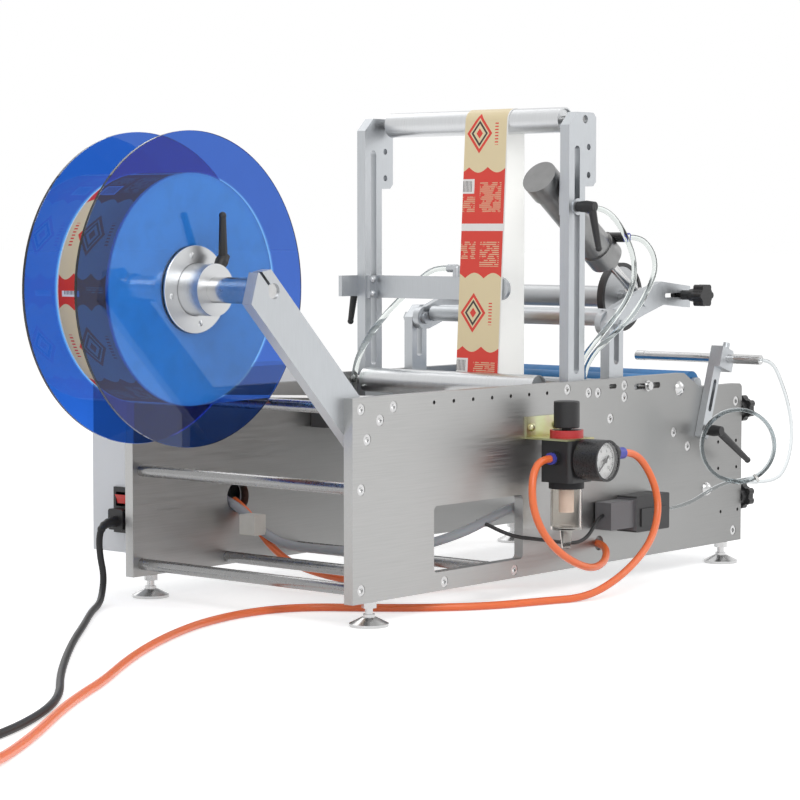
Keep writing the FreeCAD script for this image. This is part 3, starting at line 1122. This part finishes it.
def make_sensor():
    half = SENSOR_BAR_WIDE / 2
    y0, y1 = -SENSOR_BAR_THICK - SEAT_GAP, -SEAT_GAP
    lean = prism_y(bar_outline([(SENSOR_BAR_FROM, -half), (SENSOR_BAR_TO, -half), (SENSOR_BAR_TO, half),
                                (SENSOR_BAR_FROM, half)]), y0, y1)
    head = prism_y(bar_outline([(SENSOR_HEAD_FROM, -half), (SENSOR_BAR_TO, -half),
                                (SENSOR_BAR_TO, SENSOR_HEAD_WIDE - 5), (SENSOR_BAR_TO - 6, SENSOR_HEAD_WIDE),
                                (SENSOR_HEAD_FROM, SENSOR_HEAD_WIDE)]), y0 - 7, y1)
    rod_x, rod_z = on_bar(SENSOR_ROD_ALONG, SENSOR_ROD_ACROSS)
    cutters = [along_y(rod_x, rod_z, SENSOR_ROD_R + RUNNING_GAP, y0 - 8, 1),
               along_y(SENSOR_X, SENSOR_Z, SENSOR_STUD_R + RUNNING_GAP, y0 - 1, 1)]
    ends = [on_bar(along, 0) for along in (25.0, 57.0)]
    slot = hull_plate(ends[0][0], ends[0][1], 3.0, ends[1][0], ends[1][1], 3.0, y0 - 1, 1)
    top_x, top_z = on_bar(SENSOR_BAR_TO, SENSOR_ROD_ACROSS)
    out = V(sin(radians(SENSOR_LEAN)), 0, cos(radians(SENSOR_LEAN)))
    middle = V(top_x, (y0 - 7 + y1) / 2, top_z)
    thumb = Part.makeCylinder(2.0, 5, middle - out * 3, out).fuse(
        Part.makeCylinder(4.0, 6, middle + out * 2, out))
    export("sensor_bracket", lean.fuse(head).cut(cutters + [slot]).fuse(thumb))
    stud_end = SENSOR_STUD_INTO
    foot = V(SENSOR_X, y0 - SEAT_GAP, SENSOR_Z)
    lever = clamp_lever(foot, V(0, -1, 0), V(SENSOR_X + 63, -27, SENSOR_Z - 39), hub_long=21.0)
    stud = along_y(SENSOR_X, SENSOR_Z, SENSOR_STUD_R, y0 - 2, stud_end)
    export("sensor_clamp_lever", lever.fuse(stud))
    rod_y0, rod_y1 = SENSOR_ROD_Y
    rod = along_y(rod_x, rod_z, SENSOR_ROD_R, rod_y0, rod_y1 - SENSOR_CAP_LONG)
    cap = along_y(rod_x, rod_z, SENSOR_ROD_R + 0.4, rod_y1 - SENSOR_CAP_LONG, rod_y1)
    export("sensor_rod", [rod, cap])


def make_amplifier():
    x0, x1 = AMP_X
    z0, z1 = AMP_Z
    case = block(x0, x1, AMP_Y, 0, z0, z1)
    case = round_edges(case, 2.0, runs_along_y)
    plug = block(x0 - 43, x0, AMP_Y + 3, -2, z0 + 6, z1 - 4)
    lid = block(x0 + 8, x1 - 8, AMP_Y - 1.5, AMP_Y, z0 + 6, z1 - 14)
    export("sensor_amplifier", [case, plug, lid])


# ---- end knobs, control box and what is in it --------------------------------------------------
def make_end_knobs():
    for name, z in zip(("upper_end_knob", "lower_end_knob"), END_KNOB_Z):
        y = PLATE_THICK / 2
        screw = along_x(y, z, KNOB_SCREW_R, PLATE_LENGTH - KNOB_SCREW_INTO, PLATE_LENGTH + 3)
        knob = star_knob((PLATE_LENGTH + SEAT_GAP, y, z), (1, 0, 0), KNOB_R, KNOB_LONG)
        export(name, screw.fuse(knob))


def make_control_box():
    x0, x1 = BOX_X
    z0, z1 = BOX_Z
    y0, y1 = OUT_REAR, OUT_REAR + BOX_Y_DEEP
    w = BOX_WALL
    tray = block(x0, x1, y0, y1 - w, z0, z1).cut([
        block(x0 + w, x1 - w, y0 + w, y1, z0 + w, z1 - w),
        along_y(SLEEVE_HOLE_X, SLEEVE_HOLE_Z, SLEEVE_HOLE_R, y0 - 1, y0 + w + 1),
        block(x0 - 1, x0 + w + 1, INLET_Y - 12.5, INLET_Y + 12.5, INLET_Z[0] + 3, INLET_Z[1] - 3)])
    export("control_box", tray)
    cover = block(x0, x1, y1 - w, y1, z0, z1)
    lip = block(x0 + w, x1 - w, y1 - 12, y1 - w, z0 + w, z1 - w)
    cover = cover.fuse(lip.cut(block(x0 + 2 * w, x1 - 2 * w, y0, y1, z0 + 2 * w, z1 - 2 * w)))
    screws = [Part.makeSphere(5.0, V(x, y1 - 2, z)).common(block(x - 6, x + 6, y1, y1 + 5, z - 6, z + 6))
              for x in (x0 + 12, x1 - 12) for z in (z0 + 12, z1 - 12)]
    export("control_box_cover", [cover] + screws)
    low, high = INLET_Z
    frame = block(x0 - 2.5, x0, INLET_Y - 13.5, INLET_Y + 13.5, low, high)
    body = block(x0, x0 + 26, INLET_Y - 12, INLET_Y + 12, low + 3.5, high - 3.5)
    window = block(x0 - 3, x0 + 16, INLET_Y - 10, INLET_Y + 10, ROCKER_Z - 7.5, ROCKER_Z + 7.5)
    plug = block(PLUG_X, x0 - 2.5, INLET_Y - 11, INLET_Y + 11, low + 4, low + 26)
    plug = round_edges(plug, 3.0, runs_along_x)
    pins = [block(x0 - 3, x0 + 12, INLET_Y - s - 1, INLET_Y - s + 1, low + 13, low + 17) for s in (-6, 6)]
    panel = frame.fuse(body).cut([window] + pins)
    hinge_pin = along_y(x0 + ROCKER_IN, ROCKER_Z, ROCKER_PIN_R, INLET_Y - 11, INLET_Y + 11)
    export("power_inlet", [panel.fuse(hinge_pin), plug])
    outline = [(x0 - 4.5, ROCKER_Z + 4.8), (x0 - 2.0, ROCKER_Z), (x0 - 0.8, ROCKER_Z - 4.8),
               (x0 + 4.0, ROCKER_Z - 3.5), (x0 + ROCKER_IN + 3, ROCKER_Z - 2.5),
               (x0 + ROCKER_IN + 3, ROCKER_Z + 2.5), (x0 + 4.0, ROCKER_Z + 4.0)]
    rocker = prism_y(outline, INLET_Y - 9.5, INLET_Y + 9.5)
    bore = along_y(x0 + ROCKER_IN, ROCKER_Z, ROCKER_PIN_R + RUNNING_GAP, INLET_Y - 12, INLET_Y + 12)
    export("rocker_switch", rocker.cut(bore))


def runs_along_x(edge):
    a, b = edge.Vertexes[0].Point, edge.Vertexes[-1].Point
    return abs(a.y - b.y) < 0.01 and abs(a.z - b.z) < 0.01 and abs(a.x - b.x) > 1


def make_valve():
    x, z = VALVE_X, VALVE_Z
    y1 = IN_REAR
    body = block(x - 26, x + 26, y1 - 22, y1, z - 12, z + 12)
    coil = block(x - 52, x - 26, y1 - 24, y1 - 1, z - 13, z + 13)
    port = along_z(x, y1 - 19, 5.0, z + 12, z + 24)
    export("solenoid_valve", body.fuse([coil, port]))


# ---- hoses and cables --------------------------------------------------------------------------
# Routes run from the fixed end of each cord. Floor runs lie with their underside just off the floor.
SUPPLY_ROUTE = (
    (398, -35, 147), (420, -35, 147), (443, -39, 124), (450, -46, 94), (436, -53, 66), (404, -61, 43),
    (350, -66, 20), (300, -60, 4.2), (253, -41, 4.2), (190, -21, 4.2), (138, 20, 4.2), (99, 66, 4.2),
    (59, 122, 4.2), (2, 139, 4.2), (-72, 128, 4.2), (-138, 102, 4.2), (-208, 66, 4.2), (-282, 20, 4.2),
    (-358, -34, 4.2), (-420, -71, 4.2), (-478, -110, 4.2), (-552, -165, 4.2), (-628, -214, 4.2),
    (-704, -261, 4.2))
MACHINE_ROUTE = (
    (268, -35, 149.5), (252, -35, 149.5), (237, -37, 137), (230, -41, 116), (231, -44, 96), (241, -47, 76),
    (262, -49, 56), (292, -50, 40), (328, -46, 30), (362, -37, 32), (384, -25, 41), (398, -9, 46),
    (404.5, 9, 46.8), (402, 28, 44), (386, 48, 35), (352, 68, 20), (310, 86, 12), (262, 106, 10),
    (212, 130, 10), (176, 162, 15), (166, 205, 22), (165, 240, 31), (164, 264, 46), (163, 284, 66),
    (163, 299, 83), (164, 317, 91))
UPPER_TUBE_ROUTE = (
    (370.5, 184, 342.5), (370.5, 199, 342.5), (378, 222, 336), (381, 250, 317), (381, 271, 300), (372, 284, 283),
    (352, 285, 265), (333, 285, 243), (326, 285.3, 219), (326, 285.3, 202))
POWER_ROUTE = (
    (-1, 330, 81), (-17, 330, 81), (-26, 328, 69), (-28, 325, 49), (-27, 320, 28), (-37, 312, 11),
    (-58, 294, 3.8), (-100, 261, 3.8), (-160, 206, 3.8), (-228, 146, 3.8), (-300, 78, 3.8), (-368, 10, 3.8),
    (-424, -52, 3.8), (-478, -96, 3.8), (-546, -134, 3.8), (-602, -152, 3.8), (-656, -144, 3.8))
AIR_ROUTE_A = (
    (430, 30, 409), (430, 17, 409), (438, 5, 398), (451, -1, 377), (461, -4, 354), (459, -6, 330),
    (444, -8, 311), (424, -8, 294), (408, -3, 277), (401, 7, 262), (400, 18, 249), (402, 27, 234),
    (403, 29.5, 212), (401, 28.5, 190))
AIR_ROUTE_B = (
    (485, 20, 377), (485, 8, 377), (486, -4, 370), (490, -10, 357), (489, -13, 342), (479, -14, 326),
    (462, -14, 307), (442, -13, 290), (423, -6, 274), (412, 5, 260), (411, 17, 247), (413, 27, 232),
    (414, 29.5, 211), (411, 28.5, 190))
FIBRE_ROUTE = (
    (634, -58.3, 238), (634.5, -67, 237.5), (635, -76, 231), (638, -81, 218), (649, -84, 194),
    (657, -86, 164), (651, -88, 135), (635, -90, 114), (613, -91, 104.5), (590, -71.5, 102.6))
FIBRE_TAIL_ROUTE = ((574, -53, 103.5), (556, -42, 95), (536, -32, 83), (517, -22, 77), (500, -22, 77))
AMP_CABLE_ROUTE = (
    (394, -12, 78), (384, -14, 77), (366, -20, 68), (350, -22, 58), (326, -24, 55), (296, -18, 60),
    (268, -16, 65), (248, -8, 68), (238, 6, 74), (230, 20, 82), (224, 27, 84))
LOOM_ROUTE = (
    (406, 28.5, 182), (406, 28.5, 166), (401, 25, 143), (383, 22, 119), (352, 20, 102), (318, 19, 97),
    (283, 19, 96), (246, 21, 88), (210, 26, 76), (174, 40, 66), (152, 68, 57), (146, 108, 52),
    (150, 152, 50), (159, 192, 48), (164, 228, 47), (162, 254, 52), (156, 276, 66), (151, 295, 85),
    (150, 318, 93))


def make_cords():
    export("supply_hose", cord("supply_hose", SUPPLY_ROUTE, HOSE_D))
    export("machine_hose", cord("machine_hose", MACHINE_ROUTE, HOSE_D))
    export("power_cord", cord("power_cord", POWER_ROUTE, MAINS_D))
    export("air_tubes", [cord("air tube a", AIR_ROUTE_A, TUBE_D), cord("air tube b", AIR_ROUTE_B, TUBE_D),
                         cord("upper tube", UPPER_TUBE_ROUTE, UPPER_TUBE_D)])
    export("fibre_cable", [cord("fibre", FIBRE_ROUTE, FIBRE_D), cord("fibre tail", FIBRE_TAIL_ROUTE, FIBRE_D)])
    ring = Part.makeTorus(FIBRE_COIL_R, FIBRE_COIL_THICK / 2, V(*FIBRE_COIL), V(*FIBRE_COIL_FACES))
    export("fibre_coil", ring)
    sleeve = cord("loom", LOOM_ROUTE, LOOM_D)
    joiner = block(138, 156, 262, 284, 58, 80)
    boot = along_z(LOOM_ROUTE[0][0], LOOM_ROUTE[0][1], 8.5, LOOM_ROUTE[0][2] - 2, AIR_ROUTE_A[-1][2])
    export("wiring_loom", [sleeve.fuse([joiner, boot]), cord("amplifier cable", AMP_CABLE_ROUTE, FIBRE_D)])
    make_coil("supply_hose", SUPPLY_ROUTE, HOSE_D, SUPPLY_COIL)
    make_coil("power_cord", POWER_ROUTE, MAINS_D, POWER_COIL)


def make_coil(name, route, diameter, size):
    """The rest of a cord as a neat coil on the floor, and the piece on its end."""
    mean_r, across, layers = size
    end, before = V(*route[-1]), V(*route[-2])
    way = end - before
    way.normalize()
    side = V(way.y, -way.x, 0)
    outer = mean_r + across * diameter / 2
    tail = sqrt(outer ** 2 - (mean_r - diameter / 2) ** 2) + 1
    middle = end + way * tail
    centre = middle + side * mean_r
    z0 = end.z - diameter / 2
    high = layers * diameter
    hole = Part.makeCylinder(mean_r - across * diameter / 2, high + 2, V(centre.x, centre.y, z0 - 1))
    ring = Part.makeCylinder(outer, high, V(centre.x, centre.y, z0)).cut(hole)
    strip = Part.makeBox(2 * tail, diameter, diameter, V(0, -diameter / 2, z0))
    strip.rotate(V(0, 0, 0), UP, degrees(atan2(way.y, way.x)))
    strip.translate(V(end.x, end.y, 0))
    export(name + "_coil", ring.fuse(strip))
    turns = across * layers
    print("%s coil: %.1f turns, %.0f mm" % (name, turns, turns * 2 * pi * mean_r))
    far = end + way * (2 * tail)
    if name == "supply_hose":
        body = Part.makeCylinder(4.6, 18, far + UP * 1.2, way).fuse([
            Part.makeCylinder(7.0, 26, far + way * 12 + UP * 3.2, way)])
        export("hose_connector", body)
    else:
        neck = Part.makeCone(3.5, 6.0, 22, far, way * 22 + UP * 2.6)
        head = Part.makeBox(30, 34, 20, V(0, -17, 0))
        head = head.makeFillet(4.0, head.Edges)
        pins = [Part.makeBox(18, 6.2, 1.6, V(29, y - 3.1, 9 + dz)) for y, dz in ((-7, -2), (7, -2))]
        head = head.fuse(pins)
        head.rotate(V(0, 0, 0), UP, degrees(atan2(way.y, way.x)))
        head.translate(far + way * 20 + V(0, 0, 0.3 - far.z))
        export("mains_plug", neck.fuse(head))


for make in (make_front_side_plate, make_rear_side_plate, make_cross_rods, make_plate_screws,
             make_levelling_feet, make_reel_arm, make_reel_shaft, make_reel_discs, make_reel_hub,
             make_label_roll, make_reel_lever, make_uprights, make_web_rollers, make_crossbar,
             make_label_web, make_peel_plate, make_drive, make_bottle_rollers, make_press_arm,
             make_press_wheel, make_press_knob, make_cylinder, make_cylinder_bracket, make_regulator,
             make_gauge, make_sensor, make_amplifier, make_end_knobs, make_control_box, make_valve,
             make_cords):
    make()
